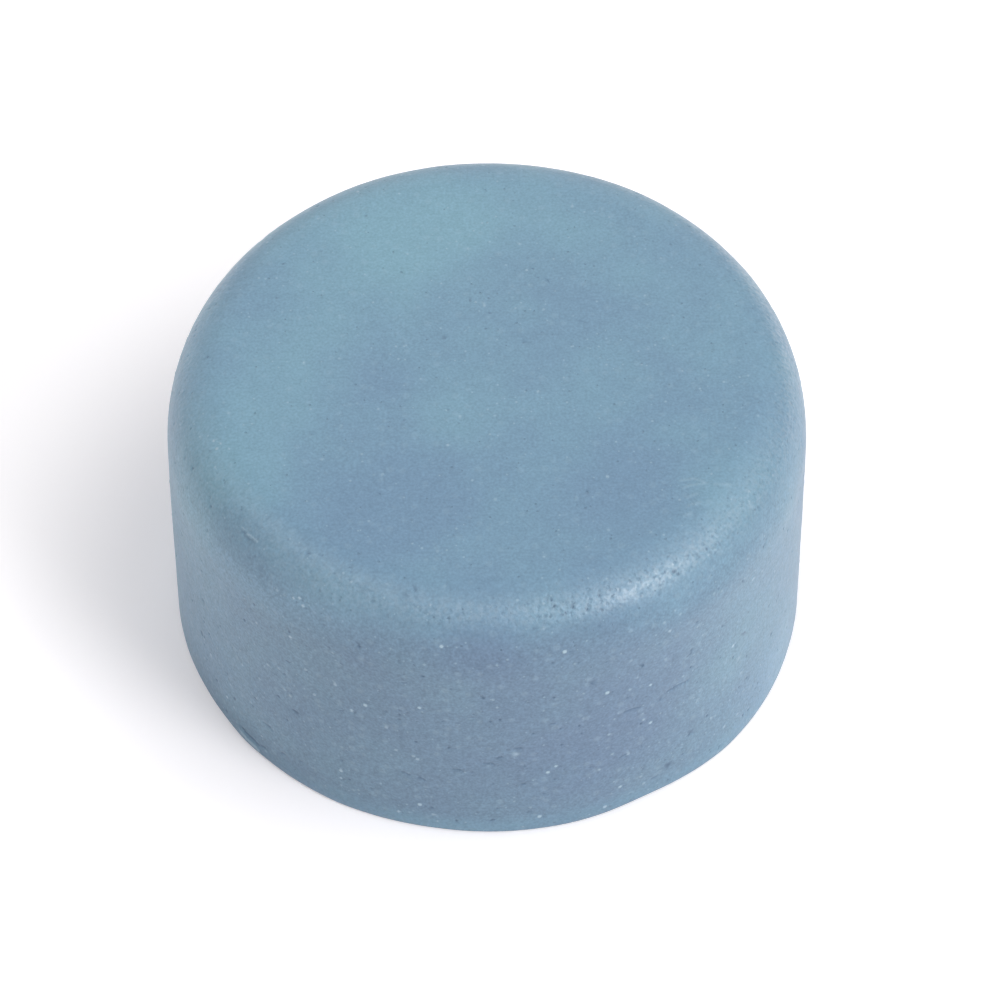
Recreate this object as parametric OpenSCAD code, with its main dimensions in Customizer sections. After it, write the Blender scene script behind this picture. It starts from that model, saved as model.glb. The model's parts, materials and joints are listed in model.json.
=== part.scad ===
// Detailing clay puck: one pressed, solid lump of clay with a cut foot, a drafted wall and a rounded rim.
// Millimetres, +Z up, origin at the centre of the face it stands on.

/* [Puck] */
// Diameter of the wall at the face it stands on
base_d = 59; // [40:0.5:80]
// Height from the face it stands on to the top face
height = 30; // [24:0.5:45]
// Lean of the wall towards the axis, left by the mould, in degrees
wall_draft = 1.4; // [0.2:0.1:3]

/* [Edges] */
// Radius of the wide shoulder where the wall starts to turn in
shoulder_r = 13; // [8:0.5:14]
// Radius of the tighter rim round the top face
rim_r = 5; // [1:0.25:6]
// How far the shoulder has turned from the wall towards the top where the rim takes over, in degrees
shoulder_turn = 20; // [10:1:45]
// Radius of the small edge round the foot
foot_r = 0.4; // [0.2:0.1:1.5]

/* [Hidden] */
$fn = 180;

clay_blue = [0.50, 0.62, 0.71];
base_r = base_d / 2;

// Centres of the rim and shoulder arcs, each tangent to the next stretch of the outline
rim_z = height - rim_r;
shoulder_z = rim_z - (shoulder_r - rim_r) * sin(shoulder_turn);
shoulder_x = base_r - shoulder_z * tan(wall_draft) - shoulder_r / cos(wall_draft);
rim_x = shoulder_x + (shoulder_r - rim_r) * cos(shoulder_turn);

// Centre of the foot arc, tangent to the wall and to the face it stands on
foot_x = base_r - foot_r * tan(wall_draft) - foot_r / cos(wall_draft);

function on_circle(centre, r, angle) = centre + r * [cos(angle), sin(angle)];

shoulder_centre = [shoulder_x, shoulder_z];
rim_centre = [rim_x, rim_z];
foot_centre = [foot_x, foot_r];

// The bulge of a circle between two angles, cut by a wedge from a point inside the section
module bulge(centre, r, from, to, inside) {
  start = on_circle(centre, r, from);
  end = on_circle(centre, r, to);
  reach = 1.2;
  intersection() {
    translate(centre) circle(r);
    polygon([inside, inside + reach * (start - inside), inside + reach * (end - inside)]);
  }
}

// Half of the puck's section, on the +X side of its axis: straight stretches, then the three rounded ones
module half_section() {
  union() {
    polygon([
      [0, 0],
      on_circle(foot_centre, foot_r, -90),
      on_circle(foot_centre, foot_r, wall_draft),
      on_circle(shoulder_centre, shoulder_r, wall_draft),
      on_circle(shoulder_centre, shoulder_r, shoulder_turn),
      on_circle(rim_centre, rim_r, 90),
      [0, height]
    ]);
    bulge(foot_centre, foot_r, -90, wall_draft, [0, height]);
    bulge(shoulder_centre, shoulder_r, wall_draft, shoulder_turn, [0, height / 2]);
    bulge(rim_centre, rim_r, shoulder_turn, 90, [0, 0]);
  }
}

module clay_puck() {
  color(clay_blue) rotate_extrude() half_section();
}

clay_puck();
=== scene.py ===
import json
import math
import random
import bmesh
import bpy
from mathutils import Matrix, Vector, kdtree, noise

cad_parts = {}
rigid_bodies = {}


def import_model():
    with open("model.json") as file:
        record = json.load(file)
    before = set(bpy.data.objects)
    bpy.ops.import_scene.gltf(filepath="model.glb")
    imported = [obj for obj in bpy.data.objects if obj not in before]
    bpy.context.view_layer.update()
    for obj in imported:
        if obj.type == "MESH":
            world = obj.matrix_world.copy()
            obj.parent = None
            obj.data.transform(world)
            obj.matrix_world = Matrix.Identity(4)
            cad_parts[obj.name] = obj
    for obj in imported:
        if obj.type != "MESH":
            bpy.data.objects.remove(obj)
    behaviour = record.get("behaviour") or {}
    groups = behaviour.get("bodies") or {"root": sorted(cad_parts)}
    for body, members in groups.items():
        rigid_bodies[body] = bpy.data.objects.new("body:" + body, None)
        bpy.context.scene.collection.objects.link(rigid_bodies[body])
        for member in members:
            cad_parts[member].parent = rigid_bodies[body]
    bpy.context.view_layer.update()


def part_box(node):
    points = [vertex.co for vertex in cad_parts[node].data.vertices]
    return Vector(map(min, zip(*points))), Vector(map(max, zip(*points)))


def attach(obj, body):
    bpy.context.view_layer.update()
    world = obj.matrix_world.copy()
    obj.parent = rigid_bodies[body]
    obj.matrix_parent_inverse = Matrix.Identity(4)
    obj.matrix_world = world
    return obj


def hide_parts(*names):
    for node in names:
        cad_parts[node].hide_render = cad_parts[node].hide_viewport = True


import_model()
mm = 0.001
boxLow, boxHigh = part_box("clay_puck")
middle = (boxLow + boxHigh) / 2
upward = Vector((0, 0, 1))

# the puck's own shape, in millimetres and degrees; its width and height come from the frame
puck = {
    "widest": (boxHigh.x - boxLow.x) / 2 / mm,  # from the axis to the wall, at the foot
    "height": (boxHigh.z - boxLow.z) / mm,
    "wallDraft": 1.4,
    "shoulderRadius": 13.0,
    "shoulderTurn": 20.0,
    "rimRadius": 5.0,
    "footRadius": 0.4,
    "spokes": 300,
    "meshStep": 0.6,
    "fewestSteps": 3,
    "mergeWithin": 0.002,
    "seed": 11,
}


# centres of the three arcs in the half section, each tangent to the next stretch
def arcCentres():
    draft, turn = math.radians(puck["wallDraft"]), math.radians(puck["shoulderTurn"])
    shoulder, rim, foot = puck["shoulderRadius"], puck["rimRadius"], puck["footRadius"]
    shoulderZ = puck["height"] - rim - (shoulder - rim) * math.sin(turn)
    wallReach = puck["widest"] - shoulderZ * math.tan(draft)
    shoulderAt = Vector((wallReach - shoulder / math.cos(draft), 0, shoulderZ))
    rimAt = shoulderAt + (shoulder - rim) * Vector((math.cos(turn), 0, math.sin(turn)))
    footAt = Vector((puck["widest"] - foot, 0, foot))
    return shoulderAt, rimAt, footAt


shoulderAt, rimAt, footAt = arcCentres()


def runTo(bm, tip, point, stepSize):
    steps = round((point - tip.co).length / stepSize)
    run = bmesh.ops.spin(bm, geom=[tip], cent=(0, 0, 0), axis=(0, 0, 1), dvec=(point - tip.co) / steps,
                         angle=0, steps=steps, use_duplicate=False)
    return run["geom_last"][0]


def turnAbout(bm, tip, centre, degrees, stepSize):
    angle = math.radians(degrees)
    steps = max(puck["fewestSteps"], round((tip.co - centre).length * angle / stepSize))
    turned = bmesh.ops.spin(bm, geom=[tip], cent=centre, axis=(0, -1, 0), dvec=(0, 0, 0),
                            angle=angle, steps=steps, use_duplicate=False)
    return turned["geom_last"][0]


# a square grid pulled round into a disc, so that its border meets the ring of spokes
def roundCap(bm, radius, height):
    side = puck["spokes"] // 4
    cap = bmesh.ops.create_grid(bm, x_segments=side, y_segments=side, size=1)["verts"]
    for v in cap:
        x, y, _ = v.co
        if abs(x) > abs(y):
            reach, angle = x, math.pi / 4 * y / x
        elif y:
            reach, angle = y, math.pi / 2 - math.pi / 4 * x / y
        else:
            reach, angle = 0.0, 0.0
        v.co = (radius * reach * math.cos(angle), radius * reach * math.sin(angle), height)


def puckBody(bm):
    draft = math.radians(puck["wallDraft"])
    wallTop = shoulderAt + puck["shoulderRadius"] * Vector((math.cos(draft), 0, math.sin(draft)))
    step = puck["meshStep"]
    tip = bm.verts.new(footAt - Vector((0, 0, puck["footRadius"])))
    tip = turnAbout(bm, tip, footAt, 90 + puck["wallDraft"], step)
    tip = runTo(bm, tip, wallTop, step)
    tip = turnAbout(bm, tip, shoulderAt, puck["shoulderTurn"] - puck["wallDraft"], step)
    tip = turnAbout(bm, tip, rimAt, 90 - puck["shoulderTurn"], step)
    bmesh.ops.spin(bm, geom=bm.verts[:] + bm.edges[:], cent=(0, 0, 0), axis=(0, 0, 1), dvec=(0, 0, 0),
                   angle=math.tau, steps=puck["spokes"], use_merge=True, use_duplicate=False)
    roundCap(bm, rimAt.x, puck["height"])
    roundCap(bm, footAt.x, 0)
    bmesh.ops.remove_doubles(bm, verts=bm.verts, dist=puck["mergeWithin"])
    bmesh.ops.recalc_face_normals(bm, faces=bm.faces)


# a place is given by its bearing, in degrees to the right of the front, and its reach or height in mm
def around(bearing, reach, height):
    turn = math.radians(bearing)
    return Vector((reach * math.sin(turn), -reach * math.cos(turn), height))


def onTop(bearing, reach):
    return around(bearing, reach, puck["height"])


def onSide(bearing, height):
    if height < shoulderAt.z:
        return around(bearing, puck["widest"] - height * math.tan(math.radians(puck["wallDraft"])), height)
    jointZ = shoulderAt.z + puck["shoulderRadius"] * math.sin(math.radians(puck["shoulderTurn"]))
    centre, radius = (shoulderAt, puck["shoulderRadius"]) if height < jointZ else (rimAt, puck["rimRadius"])
    return around(bearing, centre.x + math.sqrt(max(radius ** 2 - (height - centre.z) ** 2, 0)), height)


# specks and pinholes that can be told apart in the photograph: (bearing, height or reach, radius)
seenSpecks = {
    "wall": {"on": onSide, "size": 0.85, "lift": 0.04, "tone": 0.85, "places": [
        (-21.8, 16.3, 0.30), (-24.5, 14.9, 0.22), (-12, 17.9, 0.24), (-27, 5.3, 0.26), (-27, 4.3, 0.20),
        (-12.2, 3.5, 0.30), (-16, 1.9, 0.22), (-8.2, 26.3, 0.24), (-36.8, 21.3, 0.24), (-54.8, 3.9, 0.24),
        (13.2, 25.2, 0.30), (20.8, 18.3, 0.32), (29.2, 16.9, 0.22), (29.5, 11.3, 0.24), (11.8, 9.3, 0.22),
        (10.2, 8.5, 0.26), (48.5, 14.5, 0.24), (8.8, 2.1, 0.30), (21, 1.2, 0.30), (23.8, 3.5, 0.24),
        (-35.2, 26.6, 0.22), (-36.4, 26.2, 0.20), (-34.2, 26.0, 0.22)]},
    "rim": {"on": onSide, "size": 1.0, "lift": 0.03, "tone": 0.6, "places": [
        (-70.5, 29.8, 0.16), (-69.8, 29.6, 0.20), (-68.5, 29.9, 0.14), (-66.2, 29.2, 0.16),
        (-72, 29.6, 0.18)]},
    "top": {"on": onTop, "size": 1.0, "lift": 0.03, "tone": 0.55, "places": [
        (-173, 8.2, 0.16), (163, 12.6, 0.17), (40, 16.2, 0.2), (-22, 9.5, 0.17), (60, 5.2, 0.17)]},
    "pinholes": {"on": onTop, "size": 1.0, "lift": -0.08, "tone": -0.75, "places": [
        (-170, 8.4, 0.14), (178, 6.8, 0.13), (-178, 5.0, 0.13), (161, 13.0, 0.14), (153, 12.2, 0.12)]},
}

# the small shade right of a wall speck: degrees aside for each mm of the speck's radius, the rest in mm
speckShade = {"aside": 3.0, "below": 0.15, "radius": 0.15, "lift": -0.06, "tone": -0.6}

# short drag slits in the wall, which bow up and then dip: (bearing, height, length)
wallSlits = {"reach": 29, "bow": 0.05, "dip": 0.2, "radius": 0.14, "lift": -0.08, "tone": -0.65, "places": [
    (33, 14.7, 2.2), (24.2, 14.5, 1.6), (-1.0, 10.6, 1.0), (-6.2, 9.5, 0.8), (-12.6, 7.5, 0.7),
    (-15.4, 7.9, 0.6), (-43.2, 5.7, 0.7)]}

# strokes through a few places each: (bearing, height or reach)
seenStrokes = {
    "scoredRidges": {"on": onTop, "radius": 0.17, "lift": 0.035, "tone": 0.24, "lines": [
        [(52.5, 21.2), (54.8, 22.0), (55.4, 22.9)], [(51, 21.8), (53.4, 22.4), (55.2, 23.2)],
        [(49.5, 22.8), (51.8, 23.2)], [(47.5, 23.4), (50.3, 23.9)], [(45, 23.9), (47, 24.1)],
        [(56, 23.8), (58, 24.9)]]},
    "rimRidge": {"on": onSide, "radius": 0.16, "lift": 0.02, "tone": 0.4, "lines": [
        [(58, 28.7), (57.7, 28.2)]]},
    "leftCrease": {"on": onSide, "radius": 0.16, "lift": -0.05, "tone": -0.4, "lines": [
        [(-51.8, 28.3), (-50.2, 28.15), (-48, 28.3)]]},
    "creaseLip": {"on": onSide, "radius": 0.14, "lift": 0.02, "tone": 0.45, "lines": [
        [(-52, 28.5), (-50.3, 28.4), (-47.8, 28.5)]]},
    "footFlake": {"on": onSide, "radius": 0.28, "lift": 0.10, "tone": 0.5, "lines": [
        [(-50.2, 1.0), (-48, 0.9), (-45.5, 0.8)]]},
    "flakeGap": {"on": onSide, "radius": 0.20, "lift": -0.08, "tone": -0.7, "lines": [
        [(-50.2, 1.7), (-48, 1.6), (-45.5, 1.5)]]},
}

dotSpacing = 0.6  # between the dots of a stroke, in radii


# a mark is (dots along it, radius, lift, tone): tone above zero is pale, below zero dark, a painted shade in
# the dent that it presses
def stroke(points, radius, lift, tone):
    dots = []
    for start, end in zip(points, points[1:]):
        steps = max(1, math.ceil((end - start).length / (dotSpacing * radius)))
        dots += [start.lerp(end, n / steps) for n in range(steps + 1)]
    return dots, radius, lift, tone


def pressOf(kind):
    return kind["radius"], kind["lift"], kind["tone"]


def slitLine(bearing, height, length):
    run = math.degrees(length / wallSlits["reach"])
    bowed = onSide(bearing + run / 2, height + wallSlits["bow"])
    return [onSide(bearing, height), bowed, onSide(bearing + run, height - wallSlits["dip"])]


def handMarks():
    marks = []
    for kind in seenSpecks.values():
        for bearing, place, radius in kind["places"]:
            marks.append(([kind["on"](bearing, place)], kind["size"] * radius, kind["lift"], kind["tone"]))
    for bearing, height, radius in seenSpecks["wall"]["places"]:
        seat = onSide(bearing + speckShade["aside"] * radius, height - speckShade["below"])
        marks.append(([seat], *pressOf(speckShade)))
    for place in wallSlits["places"]:
        marks.append(stroke(slitLine(*place), *pressOf(wallSlits)))
    for kind in seenStrokes.values():
        for line in kind["lines"]:
            marks.append(stroke([kind["on"](*place) for place in line], *pressOf(kind)))
    return marks


# loose marks over the rest of the skin: how many, mean radius, lift, tone, and how far they run round
scatter = [
    {"zone": "rim", "count": 330, "radius": 0.15, "lift": -0.055, "tone": -0.4, "run": 0.0},
    {"zone": "rim", "count": 60, "radius": 0.17, "lift": 0.03, "tone": 0.5, "run": 0.0},
    {"zone": "wall", "count": 420, "radius": 0.15, "lift": -0.055, "tone": -0.9, "run": 0.0},
    {"zone": "wall", "count": 210, "radius": 0.19, "lift": 0.03, "tone": 0.55, "run": 0.0},
    {"zone": "wall", "count": 70, "radius": 0.13, "lift": -0.05, "tone": -0.8, "run": 0.4},
    {"zone": "top", "count": 60, "radius": 0.14, "lift": -0.04, "tone": -0.6, "run": 0.0},
    {"zone": "top", "count": 90, "radius": 0.16, "lift": 0.03, "tone": 0.4, "run": 0.0},
    {"zone": "base", "count": 60, "radius": 0.18, "lift": -0.06, "tone": -0.6, "run": 0.0},
]

# how far a loose mark strays from its kind, as shares
stray = {"size": (0.75, 1.35), "run": (0.4, 1.5), "rise": (-0.1, 0.5), "tone": (0.6, 1.1)}

# where the zones end: by the slope of the normal for the base and the top, by height for the others
zoneEnds = {"base": -0.9, "top": 0.95, "foot": 1.2, "rim": 24.5}


def zoneOf(face):
    height = face.calc_center_median().z
    if face.normal.z < zoneEnds["base"]:
        return "base"
    if face.normal.z > zoneEnds["top"]:
        return "top"
    if height < zoneEnds["foot"]:
        return "foot"
    return "rim" if height > zoneEnds["rim"] else "wall"


# a sorting key, so that the draws below don't hang on the order that the operators leave
def placeKey(place):
    return [round(c, 3) for c in place]


def spotOn(face):
    first, second, third, fourth = sorted((v.co for v in face.verts), key=placeKey)
    oneSide = first.lerp(second, random.random())
    otherSide = fourth.lerp(third, random.random())
    return oneSide.lerp(otherSide, random.random())


def looseMarks(bm):
    zones = {}
    for face in sorted(bm.faces, key=lambda face: placeKey(face.calc_center_median())):
        zones.setdefault(zoneOf(face), []).append(face)
    marks = []
    for kind in scatter:
        for _ in range(kind["count"]):
            start = spotOn(random.choice(zones[kind["zone"]]))
            size = random.uniform(*stray["size"])
            sideways = upward.cross(start).normalized() * kind["run"] * random.uniform(*stray["run"])
            end = start + sideways + upward * random.uniform(*stray["rise"]) * kind["run"]
            tone = kind["tone"] * random.uniform(*stray["tone"])
            marks.append(stroke([start, end], kind["radius"] * size, kind["lift"] * size, tone))
    return marks


# the rubbed stretch of the rim, right of the front, shows its pits most: angles in degrees, radii in mm
rubbed = {
    "pits": 70,
    "bearings": (6, 48),
    "lean": 47,
    "leanSpread": 7,
    "radii": (0.13, 0.20),
    "lift": -0.025,
    "tone": -0.46,
}


def rubbedPits():
    marks = []
    for _ in range(rubbed["pits"]):
        lean = math.radians(random.gauss(rubbed["lean"], rubbed["leanSpread"]))
        seat = onSide(random.uniform(*rubbed["bearings"]), rimAt.z + puck["rimRadius"] * math.sin(lean))
        marks.append(([seat], random.uniform(*rubbed["radii"]), rubbed["lift"], rubbed["tone"]))
    return marks


# the finer mesh under a mark: its margin in mesh steps, and how far off the round a vertex is put back, in mm
finer = {"margin": 0.36, "cuts": 4, "offRound": 0.05}


def refineUnder(bm, marks):
    bm.faces.ensure_lookup_table()
    bm.edges.index_update()
    tree = kdtree.KDTree(len(bm.faces))
    for face in bm.faces:
        tree.insert(face.calc_center_median(), face.index)
    tree.balance()
    edges = {}
    for dots, radius, _, _ in marks:
        for dot in dots:
            for _, index, _ in tree.find_range(dot, radius + finer["margin"] * puck["meshStep"]):
                edges.update((edge.index, edge) for edge in bm.faces[index].edges)
    chosen = [edges[index] for index in sorted(edges)]
    bmesh.ops.subdivide_edges(bm, edges=chosen, cuts=finer["cuts"], use_grid_fill=True)


# the new vertices go back on to the round of the shoulder and the rim
def snapRound(bm):
    turn = puck["shoulderTurn"]
    arcs = [(shoulderAt, puck["shoulderRadius"], puck["wallDraft"], turn),
            (rimAt, puck["rimRadius"], turn, 90)]
    for v in bm.verts:
        reach = math.hypot(v.co.x, v.co.y)
        for centre, radius, lowest, highest in arcs:
            out, rise = reach - centre.x, v.co.z - centre.z
            away = math.hypot(out, rise)
            lean = math.degrees(math.atan2(rise, out))
            if abs(away - radius) < finer["offRound"] and lowest < lean < highest:
                grown = (centre.x + out * radius / away) / reach
                v.co = (v.co.x * grown, v.co.y * grown, centre.z + rise * radius / away)


# hand-pressed unevenness in mm: waves (length, height, shift), and dents (bearing, height, spread, push)
swells = [(15.0, 0.09, (0, 2.1, 0)), (5.0, 0.03, (7.3, 2.1, 3.7)), (1.8, 0.010, (14.6, 2.1, 7.4))]
dents = [(63, 0, 6, 0.16), (48, 0, 6, 0.31), (28, 0, 4, -0.14), (-30, 0, 9, 0.10), (-50, 0, 2.5, 0.12),
         (-82, 12, 10, 0.15), (150, 28, 8, 0.14)]


def waver(place, waves):
    return sum(height * noise.noise(place / wave + Vector(shift)) for wave, height, shift in waves)


# soft round spots that fade with distance: (place, spread, strength)
def softSum(place, spots):
    return sum(strength * math.exp(-((place - at).length / spread) ** 2) for at, spread, strength in spots)


# nothing goes below the face it stands on
def pressUneven(bm):
    bm.normal_update()
    hollows = [(onSide(bearing, height), spread, push) for bearing, height, spread, push in dents]
    for v in bm.verts:
        place = v.co.copy()
        v.co = place + v.normal * (waver(place, swells) + softSum(place, hollows))
        v.co.z = max(v.co.z, 0)


toneGain = 1.5  # above 1, so that a mark's tone is full before its middle


def pressMarks(bm, marks):
    bm.normal_update()
    bm.verts.ensure_lookup_table()
    fleck = bm.verts.layers.float.new("fleck")
    tree = kdtree.KDTree(len(bm.verts))
    for v in bm.verts:
        tree.insert(v.co, v.index)
    tree.balance()
    for dots, radius, lift, tone in marks:
        pressed = {}
        for dot in dots:
            seat = tree.find(dot)[0]
            for _, index, away in tree.find_range(seat, radius):
                pressed[index] = max(pressed.get(index, 0), 1 - (away / radius) ** 2)
        for index, share in pressed.items():
            v = bm.verts[index]
            v.co += v.normal * lift * share
            # a tone below zero paints shade into the dent
            v[fleck] += tone * min(1, toneGain * share)
            v.co.z = max(v.co.z, 0)


# cloudy patches in the clay: (x, y, spread) in mm, then tone, teal above zero and slate below
patches = [
    (-10, 17, 6, 1.0), (-2, 19, 4.5, 0.9), (7, 19.5, 4, 0.4), (-7, 13, 4, 0.5), (13, 12, 4, 0.25),
    (-20, 1, 5, 0.35), (-15, 6, 4, 0.3), (-3, -5, 5, 0.4), (7, 9, 4, -0.4), (4, 2, 5, -0.2),
    (-6, -15.5, 6, -0.9), (-13, -16, 5, -0.6), (12, -14, 5.5, -0.9), (19, -5, 5, -0.2), (-9, -2, 3, -0.4),
    (-22, -8, 4.5, 0.35), (-18.5, -14.5, 4, 0.4), (0, -24, 4.5, -0.3), (19.5, -13, 3.5, 0.5),
    (8, -22.5, 4, -0.4),
]

# the same on the wall: (bearing, height, spread, tone)
wallPatches = [(22, 13, 7, -0.8), (47, 14, 6, 0.5), (0, 25.6, 3.5, -0.7), (0, 11, 7, -0.3), (-70, 25, 5, 0.7)]

# what the clouds vary about, and their own waves (length, height, shift)
clouding = {"mean": -0.15, "waves": [(7, 0.3, (0, 0, 0)), (3, 0.2, (5, 0, 0))]}

# the rim is rubbed, and takes a painted highlight, palest where it leans so many degrees, and most of all
# right of the front
wearAndHighlight = {"lean": 49, "leanSpread": 19, "bearing": 30, "mean": 0.55, "swing": 0.45}

# a darker, warmer tone on the wall, part the clay's drawn skin and part painted shade, in mm and degrees: its
# ragged top falls to the right of the front, and it fades round the sides as they face away
skin = {
    "top": 27,
    "topSoftness": 3.6,
    "fall": 2.2,
    "fallFrom": 12,
    "fallOver": 28,
    "ragged": [(3, 0.8, (0, 0, 0))],
    "foot": 0.6,
    "footSoftness": 2.6,
    "bearing": 12,
    "leastFacing": 0.2,
    "facingOver": 0.75,
    "leastSkin": 0.15,
}

# painted shade and painted light on the sides, shade above zero and light below: (bearing, its spread in
# degrees, height, its spread in mm, strength)
paintedShadingSpots = [
    (-53, 25, 0, 3.5, 0.55), (50, 18, 25.8, 2.0, 0.26), (62, 12, 27.6, 1.3, 0.2), (22, 10, 26.8, 1.2, 0.2),
    (-62, 20, 27.6, 1.7, 0.2), (-66, 16, 9, 7, 0.12), (-33, 14, 26.2, 1.8, -0.15), (-48, 12, 24, 1.6, -0.13),
    (16, 24, 28.95, 0.9, -0.25), (64, 11, 3.5, 4, -0.2), (-92, 38, 29.3, 1.0, -0.38),
    (20, 16, 0.5, 1.1, 0.16), (82, 15, 15, 12, 0.18),
]


def smooth(share):
    share = max(0, min(1, share))
    return share * share * (3 - 2 * share)


def wornAndHighlitAt(lean, bearing):
    side = wearAndHighlight["mean"] + wearAndHighlight["swing"] * math.cos(bearing - math.radians(wearAndHighlight["bearing"]))
    return side * math.exp(-((lean - wearAndHighlight["lean"]) / wearAndHighlight["leanSpread"]) ** 2)


def drawnAndShadedAt(place, bearing):
    fall = skin["fall"] * smooth((math.degrees(bearing) - skin["fallFrom"]) / skin["fallOver"])
    top = skin["top"] - fall + waver(place, skin["ragged"])
    drawn = smooth((top + skin["topSoftness"] / 2 - place.z) / skin["topSoftness"])
    drawn *= smooth((place.z - skin["foot"]) / skin["footSoftness"])
    facing = min(math.cos(bearing), math.cos(bearing - math.radians(skin["bearing"])))
    shown = smooth((facing - skin["leastFacing"]) / skin["facingOver"])
    return drawn * (skin["leastSkin"] + (1 - skin["leastSkin"]) * shown)


def paintedShadingAt(height, bearing):
    soil = 0
    for turn, width, middleHeight, tall, strength in paintedShadingSpots:
        aside, above = (math.degrees(bearing) - turn) / width, (height - middleHeight) / tall
        soil += strength * math.exp(-aside ** 2 - above ** 2)
    return soil


# what the material reads off the vertices: clouds, the worn rim and its painted highlight, the drawn skin and
# its painted shade, and painted shade and light on the sides
def paintSkin(bm):
    clouds = [(Vector((x, y, puck["height"])), spread, tone) for x, y, spread, tone in patches]
    clouds += [(onSide(bearing, height), spread, tone) for bearing, height, spread, tone in wallPatches]
    layers = bm.verts.layers.float
    mottle, worn, drawn, soil = [layers.new(name) for name in ("mottle", "worn", "drawn", "soil")]
    bm.normal_update()
    for v in bm.verts:
        lean = math.degrees(math.asin(max(-1, min(1, v.normal.z))))
        bearing = math.atan2(v.co.x, -v.co.y)
        v[mottle] = clouding["mean"] + softSum(v.co, clouds) + waver(v.co, clouding["waves"])
        v[worn] = wornAndHighlitAt(lean, bearing)
        v[drawn] = drawnAndShadedAt(v.co, bearing)
        v[soil] = paintedShadingAt(v.co.z, bearing) * (1 - v.normal.z ** 2)


def pieceFrom(bm, name, material):
    bmesh.ops.scale(bm, vec=(mm, mm, mm), verts=bm.verts)
    mesh = bpy.data.meshes.new(name)
    bm.to_mesh(mesh)
    bm.free()
    mesh.shade_smooth()
    mesh.materials.append(material)
    piece = bpy.data.objects.new(name, mesh)
    bpy.context.scene.collection.objects.link(piece)
    return piece


def addNode(tree, kind, inputs=None, **settings):
    node = tree.nodes.new(kind)
    for name, value in settings.items():
        setattr(node, name, value)
    for socket, value in (inputs or {}).items():
        if isinstance(value, bpy.types.NodeSocket):
            tree.links.new(value, node.inputs[socket])
        else:
            node.inputs[socket].default_value = value
    return node


def maths(tree, operation, a, b=0.0, c=0.0):
    return addNode(tree, "ShaderNodeMath", {0: a, 1: b, 2: c}, operation=operation).outputs[0]


def ramp(tree, value, start, end, low=0.0, high=1.0):
    return addNode(tree, "ShaderNodeMapRange", {"Value": value, 1: start, 2: end, 3: low, 4: high},
                   interpolation_type="SMOOTHSTEP").outputs[0]


def mixColour(tree, factor, a, b, blend="MIX"):
    node = addNode(tree, "ShaderNodeMix", {0: factor, 6: a, 7: b}, data_type="RGBA", blend_type=blend)
    return node.outputs[2]


def fromSrgb(red, green, blue):
    linear = [((c / 255 + 0.055) / 1.055) ** 2.4 for c in (red, green, blue)]
    return (*linear, 1.0)


white = (1, 1, 1, 1)

# spots in the clay: the cell that holds one and its radius in mm, and the share of cells that aren't empty
spotKinds = {
    "blotches": {"Cell": 0.95, "Radius": 0.42, "Share": 0.45},
    "grains": {"Cell": 0.75, "Radius": 0.14, "Share": 0.45},
    "pits": {"Cell": 0.8, "Radius": 0.14, "Share": 0.35},
    "rimPits": {"Cell": 0.5, "Radius": 0.21, "Share": 0.8},
}
spotSize = {"least": 0.5, "more": 0.7, "core": 0.45}


# round spots scattered through the clay, each fading from its core to its edge
def scatteredSpots():
    group = bpy.data.node_groups.new("scatteredSpots", "ShaderNodeTree")
    sockets = [("Vector", "INPUT", "NodeSocketVector"), ("Cell", "INPUT", "NodeSocketFloat"),
               ("Radius", "INPUT", "NodeSocketFloat"), ("Share", "INPUT", "NodeSocketFloat"),
               ("Spot", "OUTPUT", "NodeSocketFloat")]
    for name, side, kind in sockets:
        group.interface.new_socket(name=name, in_out=side, socket_type=kind)
    given = addNode(group, "NodeGroupInput").outputs
    perMm = maths(group, "DIVIDE", 1.0, given["Cell"])
    inputs = {"Vector": given["Vector"], "Scale": perMm}
    cells = addNode(group, "ShaderNodeTexVoronoi", inputs, feature="F1").outputs
    chance = addNode(group, "ShaderNodeSeparateColor", {0: cells["Color"]}).outputs
    away = maths(group, "MULTIPLY", cells["Distance"], given["Cell"])
    scale = maths(group, "MULTIPLY_ADD", chance[1], spotSize["more"], spotSize["least"])
    size = maths(group, "MULTIPLY", given["Radius"], scale)
    disc = ramp(group, away, size, maths(group, "MULTIPLY", size, spotSize["core"]))
    held = maths(group, "LESS_THAN", chance[0], given["Share"])
    addNode(group, "NodeGroupOutput", {"Spot": maths(group, "MULTIPLY", disc, held)})
    return group


# colours; how strongly each layer shows; ramps as (start, end, low, high); clouds as (wave in mm, depth)
clay = {
    "teal": fromSrgb(132, 171, 189),
    "slate": fromSrgb(121, 151, 177),
    # partly painted shade: the wall darker and warmer, most at the front
    "wallCastAndShade": (0.89, 0.83, 0.85, 1),
    # a painted highlight on the rim
    "rimHighlightTint": (1.06, 1.03, 1.01, 1),
    "paleGrain": fromSrgb(178, 202, 216),
    # painted light
    "paintedLight": fromSrgb(165, 204, 230),
    # painted shade, for the pits, the foot and the darker spots on the sides
    "paintedShadeColour": fromSrgb(84, 110, 134),
    # a painted shade along the foot
    "footShade": (0.45, 0.1, 0.0, 0.5),
    "raggedEdge": (3.0, 2.4),
    "wallTop": (28.2, 25.4),
    "wallFoot": (0.6, 3.2),
    "wallGrain": 0.6,
    "fineGrain": (0.24, 0.46),
    "coarseGrain": (0.8, 0.16),
    "blotches": 0.075,
    "grains": 0.35,
    # how strongly the pits and the rim's pits take a painted shade
    "pits": 0.3,
    "rimPits": 0.17,
    "rimPitSide": (-12.0, 14.0, 0.4, 1.0),
    "roughness": 0.38,
    "roughCloud": (0.9, 0.16),
    "rimSmoother": 0.05,
    "specular": 0.3,
}


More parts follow.
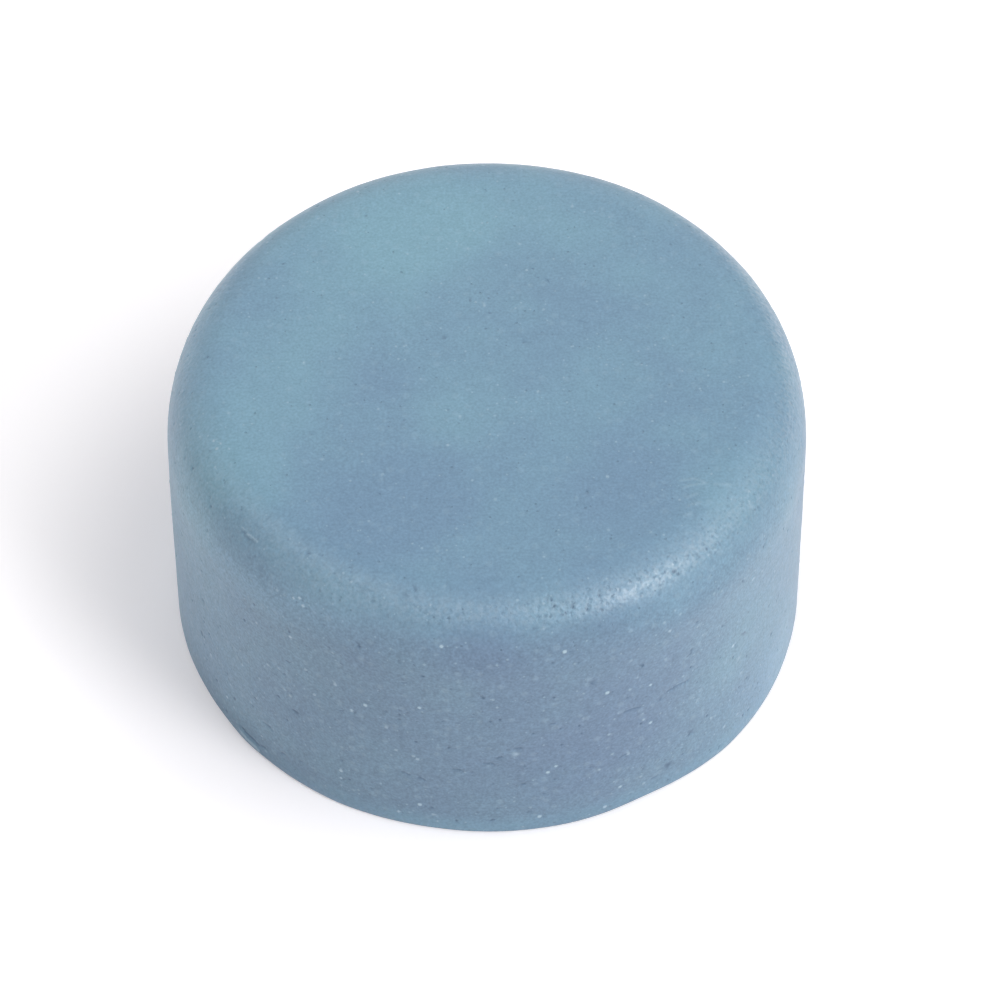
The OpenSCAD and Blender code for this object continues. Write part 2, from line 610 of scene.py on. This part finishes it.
# what the clay's colour, polish and relief share: places in mm, what is painted on the vertices, the spots
def clayFields(tree):
    place = addNode(tree, "ShaderNodeTexCoord").outputs["Object"]
    inMm = addNode(tree, "ShaderNodeMapping", {"Vector": place, "Scale": (1 / mm, 1 / mm, 1 / mm)}).outputs[0]
    across, _, height = addNode(tree, "ShaderNodeSeparateXYZ", {0: inMm}).outputs
    fields = {"inMm": inMm, "height": height}
    for name in ("mottle", "worn", "drawn", "soil", "fleck"):
        fields[name] = addNode(tree, "ShaderNodeAttribute", attribute_name=name).outputs["Fac"]
    group = scatteredSpots()
    for name, kind in spotKinds.items():
        spots = addNode(tree, "ShaderNodeGroup", {"Vector": inMm, **kind}, node_tree=group)
        fields[name] = spots.outputs["Spot"]
    # the rim's pits are fewer to the left
    pitted = maths(tree, "MULTIPLY", fields["worn"], ramp(tree, across, *clay["rimPitSide"]))
    fields["rimPits"] = maths(tree, "MULTIPLY", fields["rimPits"], pitted)
    fields["holes"] = ramp(tree, fields["fleck"], 0.0, -1.0)
    return fields


def cloud(tree, fields, wave, detail=2.0):
    inputs = {"Vector": fields["inMm"], "Scale": 1 / wave, "Detail": detail}
    return addNode(tree, "ShaderNodeTexNoise", inputs).outputs[0]


# a cloud that swings half its depth either way
def swing(tree, fields, wave, depth):
    return maths(tree, "MULTIPLY", maths(tree, "ADD", cloud(tree, fields, wave), -0.5), depth)


# grain is stronger on the wall, whose upper and lower ends are ragged
def grainStrength(tree, fields):
    ragged = maths(tree, "ADD", fields["height"], swing(tree, fields, *clay["raggedEdge"]))
    top, foot = ramp(tree, ragged, *clay["wallTop"]), ramp(tree, ragged, *clay["wallFoot"])
    return maths(tree, "MULTIPLY_ADD", maths(tree, "MULTIPLY", top, foot), clay["wallGrain"], 1.0)


def clayColour(tree, fields):
    colour = mixColour(tree, ramp(tree, fields["mottle"], -1.0, 1.0), clay["slate"], clay["teal"])
    # the wall's darker cast is partly painted shade; the rim's paler tint is a painted highlight
    for part, cast in (("drawn", "wallCastAndShade"), ("worn", "rimHighlightTint")):
        tinted = mixColour(tree, 1.0, colour, clay[cast], "MULTIPLY")
        colour = mixColour(tree, fields[part], colour, tinted)

    # painted shade along the edge that it stands on and in the darker spots on the sides, then painted light
    # in the paler spots
    paintedDark = maths(tree, "MAXIMUM", ramp(tree, fields["height"], *clay["footShade"]), fields["soil"])
    colour = mixColour(tree, paintedDark, colour, clay["paintedShadeColour"])
    paintedPale = maths(tree, "MAXIMUM", maths(tree, "MULTIPLY", fields["soil"], -1.0), 0.0)
    colour = mixColour(tree, paintedPale, colour, clay["paintedLight"])

    strength = grainStrength(tree, fields)
    fine = swing(tree, fields, *clay["fineGrain"])
    coarse = swing(tree, fields, *clay["coarseGrain"])
    grain = maths(tree, "MULTIPLY_ADD", maths(tree, "ADD", fine, coarse), strength, 1.0)
    colour = mixColour(tree, 1.0, colour, grain, "MULTIPLY")

    shown = maths(tree, "MULTIPLY", strength, clay["blotches"])
    blotches = maths(tree, "MULTIPLY", fields["blotches"], shown)
    colour = mixColour(tree, blotches, colour, clay["paleGrain"])
    grains = maths(tree, "MULTIPLY", fields["grains"], clay["grains"])
    colour = mixColour(tree, grains, colour, clay["paleGrain"])
    # painted shade in the pits, which the bump also presses in
    pits = maths(tree, "MULTIPLY", fields["pits"], clay["pits"])
    dark = maths(tree, "MULTIPLY_ADD", fields["rimPits"], clay["rimPits"], pits)
    colour = mixColour(tree, dark, colour, clay["paintedShadeColour"])
    colour = mixColour(tree, ramp(tree, fields["fleck"], 0.0, 1.0), colour, clay["paleGrain"])
    # painted shade in the pressed dents
    return mixColour(tree, fields["holes"], colour, clay["paintedShadeColour"])


def clayRoughness(tree, fields):
    rough = maths(tree, "ADD", swing(tree, fields, *clay["roughCloud"]), clay["roughness"])
    return maths(tree, "MULTIPLY_ADD", fields["worn"], -clay["rimSmoother"], rough)


polish = {"wave": 0.38, "patches": (0.40, 0.62), "least": 0.1, "more": 1.3, "lostInPits": 0.9,
          "roughness": 0.40, "ior": 1.5}


# the rubbed rim has a slight polish, in patches and broken by pits
def rimPolish(tree, fields):
    patchy = ramp(tree, cloud(tree, fields, polish["wave"]), *polish["patches"])
    gloss = maths(tree, "MULTIPLY_ADD", patchy, polish["more"], polish["least"])
    broken = maths(tree, "MAXIMUM", fields["rimPits"], fields["holes"])
    left = maths(tree, "MULTIPLY_ADD", broken, -polish["lostInPits"], 1.0)
    return maths(tree, "MULTIPLY", fields["worn"], maths(tree, "MULTIPLY", gloss, left))


# heights in mm, before the bump's own strength
relief = {"wave": 0.45, "detail": 3.0, "plain": 0.05, "rim": 0.14, "grains": 0.012, "pits": -0.06,
          "strength": 0.8}


def clayRelief(tree, fields):
    depth = maths(tree, "MULTIPLY_ADD", fields["worn"], relief["rim"], relief["plain"])
    height = maths(tree, "MULTIPLY", cloud(tree, fields, relief["wave"], relief["detail"]), depth)
    height = maths(tree, "MULTIPLY_ADD", fields["grains"], relief["grains"], height)
    allPits = maths(tree, "ADD", fields["pits"], fields["rimPits"])
    height = maths(tree, "MULTIPLY_ADD", allPits, relief["pits"], height)
    inputs = {"Height": height, "Distance": mm, "Strength": relief["strength"]}
    return addNode(tree, "ShaderNodeBump", inputs).outputs[0]


def clayMaterial():
    material = bpy.data.materials.new("pressedClay")
    material.use_nodes = True
    tree = material.node_tree
    shader = tree.nodes["Principled BSDF"].inputs
    fields = clayFields(tree)
    tree.links.new(clayColour(tree, fields), shader["Base Color"])
    tree.links.new(clayRoughness(tree, fields), shader["Roughness"])
    tree.links.new(rimPolish(tree, fields), shader["Coat Weight"])
    tree.links.new(clayRelief(tree, fields), shader["Normal"])
    shader["Coat Roughness"].default_value = polish["roughness"]
    shader["Coat IOR"].default_value = polish["ior"]
    shader["Specular IOR Level"].default_value = clay["specular"]
    return material


# the floor: its size in mm; its glow is dimmer in a disc about the shadow, a painted shadow added to the cast
# one, whose middle and soft edge are in metres
paper = {
    "size": 900,
    "colour": (0.925, 0.893, 0.915, 1),
    "shadowMiddle": (-0.008, 0.005, 0),
    "shadowEdge": (0.0235, 0.045),
    "glow": (0.14, 0.37),
}


# white for the eye, with the shadow kept; plain pale paper for the light that bounces
def floorMaterial():
    material = bpy.data.materials.new("paleFloor")
    material.use_nodes = True
    tree = material.node_tree
    tree.nodes.clear()
    sheet = addNode(tree, "ShaderNodeBsdfDiffuse", {"Color": paper["colour"]})
    rays = addNode(tree, "ShaderNodeLightPath").outputs
    seen = maths(tree, "MAXIMUM", maths(tree, "MAXIMUM", rays["Is Camera Ray"], rays["Is Glossy Ray"]),
                 rays["Is Transmission Ray"])
    place = addNode(tree, "ShaderNodeTexCoord").outputs["Object"]
    inputs = {0: place, 1: paper["shadowMiddle"]}
    away = addNode(tree, "ShaderNodeVectorMath", inputs, operation="DISTANCE").outputs["Value"]
    strength = maths(tree, "MULTIPLY", seen, ramp(tree, away, *paper["shadowEdge"], *paper["glow"]))
    glow = addNode(tree, "ShaderNodeEmission", {"Color": white, "Strength": strength})
    both = addNode(tree, "ShaderNodeAddShader", {0: sheet.outputs[0], 1: glow.outputs[0]})
    addNode(tree, "ShaderNodeOutputMaterial", {"Surface": both.outputs[0]})
    return material


def paleFloor():
    bm = bmesh.new()
    bmesh.ops.create_grid(bm, x_segments=1, y_segments=1, size=paper["size"])
    return pieceFrom(bm, "floor", floorMaterial())


# a dim room with a pale band along the walls behind and to the left; the camera sees plain white
room = {"bandTop": 0.55, "behind": 0.38, "left": 0.22, "dim": 0.02}


def paleWorld():
    world = bpy.data.worlds.new("paleRoom")
    bpy.context.scene.world = world
    world.use_nodes = True
    tree = world.node_tree
    tree.nodes.clear()
    direction = addNode(tree, "ShaderNodeTexCoord").outputs["Generated"]
    toward = addNode(tree, "ShaderNodeSeparateXYZ", {0: direction}).outputs
    band = ramp(tree, toward[2], room["bandTop"], 0.0)
    behind = maths(tree, "MULTIPLY", ramp(tree, toward[1], 0.0, 1.0), room["behind"])
    walls = maths(tree, "MULTIPLY_ADD", ramp(tree, toward[0], 0.0, -1.0), room["left"], behind)
    strength = maths(tree, "MULTIPLY_ADD", band, walls, room["dim"])
    rays = addNode(tree, "ShaderNodeLightPath").outputs
    lit = addNode(tree, "ShaderNodeBackground", {"Color": white, "Strength": strength})
    plain = addNode(tree, "ShaderNodeBackground", {"Color": white, "Strength": 1.0})
    inputs = {0: rays["Is Camera Ray"], 1: lit.outputs[0], 2: plain.outputs[0]}
    both = addNode(tree, "ShaderNodeMixShader", inputs)
    addNode(tree, "ShaderNodeOutputWorld", {"Surface": both.outputs[0]})


# lamps stand round the puck, all as far from its middle: bearing is degrees to the right of the front
lampDistance = 0.6
lamps = [
    {"name": "keySoftbox", "bearing": 50, "elevation": 32, "size": 0.27, "watts": 1.46},
    {"name": "fillSoftbox", "bearing": 54, "elevation": 22, "size": 0.40, "watts": 0.44},
    {"name": "sideSoftbox", "bearing": 97, "elevation": 51, "size": 0.70, "watts": 1.44},
    {"name": "frontSoftbox", "bearing": 0, "elevation": 59, "size": 0.36, "watts": 0.38},
    {"name": "frontLeftSoftbox", "bearing": 317, "elevation": 57, "size": 0.42, "watts": 0.32},
    {"name": "leftSoftbox", "bearing": 264, "elevation": 60, "size": 0.30, "watts": 0.58},
    {"name": "backSweep", "bearing": 180, "elevation": 30, "size": 0.50, "watts": 0.72},
    {"name": "backLeftSweep", "bearing": 225, "elevation": 25, "size": 0.50, "watts": 0.40},
    {"name": "leftReflector", "bearing": 280, "elevation": 17, "size": 0.50, "watts": 0.29},
    {"name": "frontReflector", "bearing": 320, "elevation": 14, "size": 0.44, "watts": 0.335},
]


def placeAt(bearing, elevation, distance, centre):
    turn, rise = math.radians(bearing), math.radians(elevation)
    flat = distance * math.cos(rise)
    return centre + Vector((flat * math.sin(turn), -flat * math.cos(turn), distance * math.sin(rise)))


def lookAt(thing, point):
    thing.rotation_euler = (point - thing.location).to_track_quat("-Z", "Y").to_euler()


def studioLamps():
    for lamp in lamps:
        light = bpy.data.lights.new(lamp["name"], "AREA")
        light.shape = "DISK"
        light.size = lamp["size"]
        light.energy = lamp["watts"]
        box = bpy.data.objects.new(lamp["name"], light)
        bpy.context.scene.collection.objects.link(box)
        box.location = placeAt(lamp["bearing"], lamp["elevation"], lampDistance, middle)
        lookAt(box, middle)


# the view of the photograph: metres from the puck's middle, the point it aims at, and the lens in mm
shot = {
    "distance": 0.350,
    "elevation": 50.63,
    "aim": (0.00113, 0, 0.01152),
    "lens": 136.33,
    "sensor": 36,
    "nearest": 0.01,
}


def photoCamera():
    camera = bpy.data.objects.new("camera", bpy.data.cameras.new("camera"))
    bpy.context.scene.collection.objects.link(camera)
    camera.data.sensor_width = shot["sensor"]
    camera.data.lens = shot["lens"]
    camera.data.clip_start = shot["nearest"]
    camera.location = placeAt(0, shot["elevation"], shot["distance"], middle)
    lookAt(camera, Vector(shot["aim"]))
    bpy.context.scene.camera = camera


def main():
    random.seed(puck["seed"])
    bm = bmesh.new()
    puckBody(bm)
    print("puck body:", len(bm.faces), "faces")
    marks = handMarks() + looseMarks(bm) + rubbedPits()
    refineUnder(bm, marks)
    snapRound(bm)
    paintSkin(bm)
    pressUneven(bm)
    pressMarks(bm, marks)
    print("marks pressed:", len(marks), "on", sum(len(f.verts) - 2 for f in bm.faces), "triangles")
    claySolid = pieceFrom(bm, "clayPuck", clayMaterial())
    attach(claySolid, "root")
    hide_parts("clay_puck")

    paleFloor()
    paleWorld()
    studioLamps()
    photoCamera()
    bpy.context.scene.view_settings.view_transform = "Standard"
    print("stage, lamps and camera set")


main()
